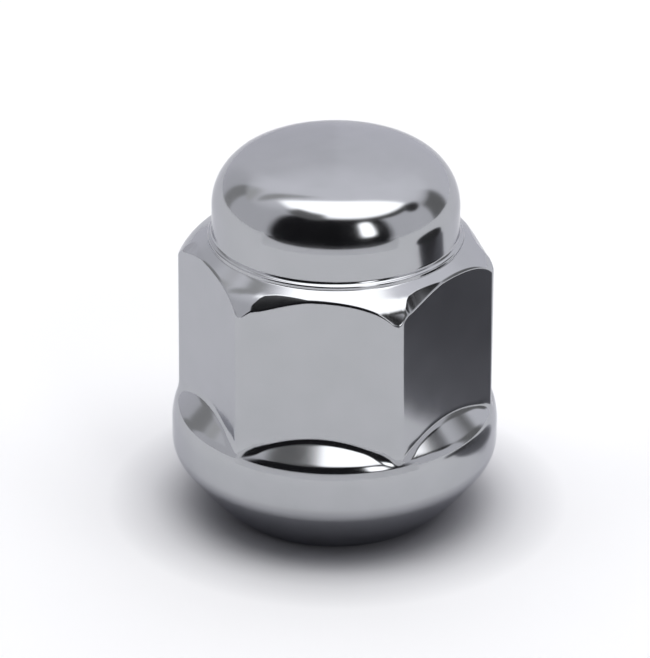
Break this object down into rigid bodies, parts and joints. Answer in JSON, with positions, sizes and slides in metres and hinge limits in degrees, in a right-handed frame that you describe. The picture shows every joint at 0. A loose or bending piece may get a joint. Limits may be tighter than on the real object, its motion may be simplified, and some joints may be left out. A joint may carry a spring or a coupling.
{
  "type": "lug nut",
  "caption": "Closed-end wheel lug nut with a domed end, a 19 mm hexagon, a flange with a ball seat, and a blind M12 x 1.5 bore, chrome plated.",
  "frame": {"origin": "centre of the flat foot face, which the nut stands on", "axes": "+Z along the bore axis towards the domed end, -Y out of one flat of the hexagon"},
  "size_m": [0.0224, 0.0224, 0.0269],
  "materials": {
    "chrome_plating": "bright chrome plating on steel"
  },
  "bodies": {
    "root": {"lug_nut": "chrome_plating"}
  },
  "joints": []
}
